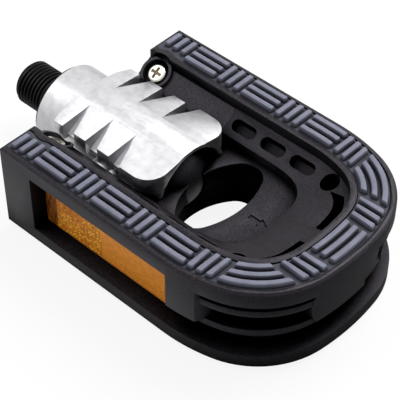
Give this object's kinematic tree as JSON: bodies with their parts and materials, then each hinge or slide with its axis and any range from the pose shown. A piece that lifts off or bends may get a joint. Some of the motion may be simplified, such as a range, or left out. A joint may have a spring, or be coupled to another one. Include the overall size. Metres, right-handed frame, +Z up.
{
  "type": "folding bicycle pedal",
  "caption": "Black D-shaped folding bicycle pedal with grey rubber treads, amber side reflectors and a ribbed aluminium hub on a threaded spindle.",
  "frame": {"origin": "on the spindle axis at the shoulder that seats on the crank", "axes": "+X outboard along the spindle, +Z up out of the tread shown in the picture, +Y to the rear rail"},
  "size_m": [0.1285, 0.0732, 0.0318],
  "materials": {
    "black_plastic": "finely textured satin black nylon",
    "tread_rubber": "matt grey-blue moulded rubber",
    "amber_lens": "clear amber with moulded prisms",
    "reflector_back": "amber back plate",
    "zinc_steel": "yellow zinc plate",
    "cast_aluminium": "bright satin casting",
    "black_steel": "black oxide",
    "plain_steel": "plain machined steel",
    "bush_bronze": "sintered bronze",
    "seal_rubber": "black rubber"
  },
  "bodies": {
    "spindle": {"spindle": "black_steel", "thrust_washer": "plain_steel", "lock_nut": "plain_steel"},
    "hub": {"hub": "cast_aluminium", "inboard_bush": "bush_bronze", "outboard_bush": "bush_bronze", "inboard_seal": "seal_rubber", "end_cap": "black_plastic", "front_pivot_pin": "plain_steel", "rear_pivot_pin": "plain_steel"},
    "pivot_blocks": {"front_pivot_block": "black_plastic", "rear_pivot_block": "black_plastic"},
    "cage": {"cage_frame": "black_plastic", "top_tread": "tread_rubber", "bottom_tread": "tread_rubber", "front_reflector": "amber_lens", "rear_reflector": "amber_lens", "front_reflector_plate": "reflector_back", "rear_reflector_plate": "reflector_back", "front_arm": "black_plastic", "rear_arm": "black_plastic", "arm_screws": "zinc_steel", "front_spring": "plain_steel", "rear_spring": "plain_steel"}
  },
  "joints": [
    {"name": "spindle_spin", "type": "hinge", "parent": "spindle", "child": "hub", "pos_m": [0.02, 0, 0], "axis": [1, 0, 0], "continuous": true},
    {"name": "cage_fold", "type": "hinge", "parent": "hub", "child": "pivot_blocks", "pos_m": [0.033, 0, 0], "axis": [0, 1, 0], "range_deg": [0, 90]},
    {"name": "cage_release", "type": "slide", "parent": "pivot_blocks", "child": "cage", "axis": [1, 0, 0], "range_m": [0, 0.006], "stiffness_N_per_m": 1200, "springref_m": -0.003, "deforming": ["front_spring", "rear_spring"]}
  ]
}
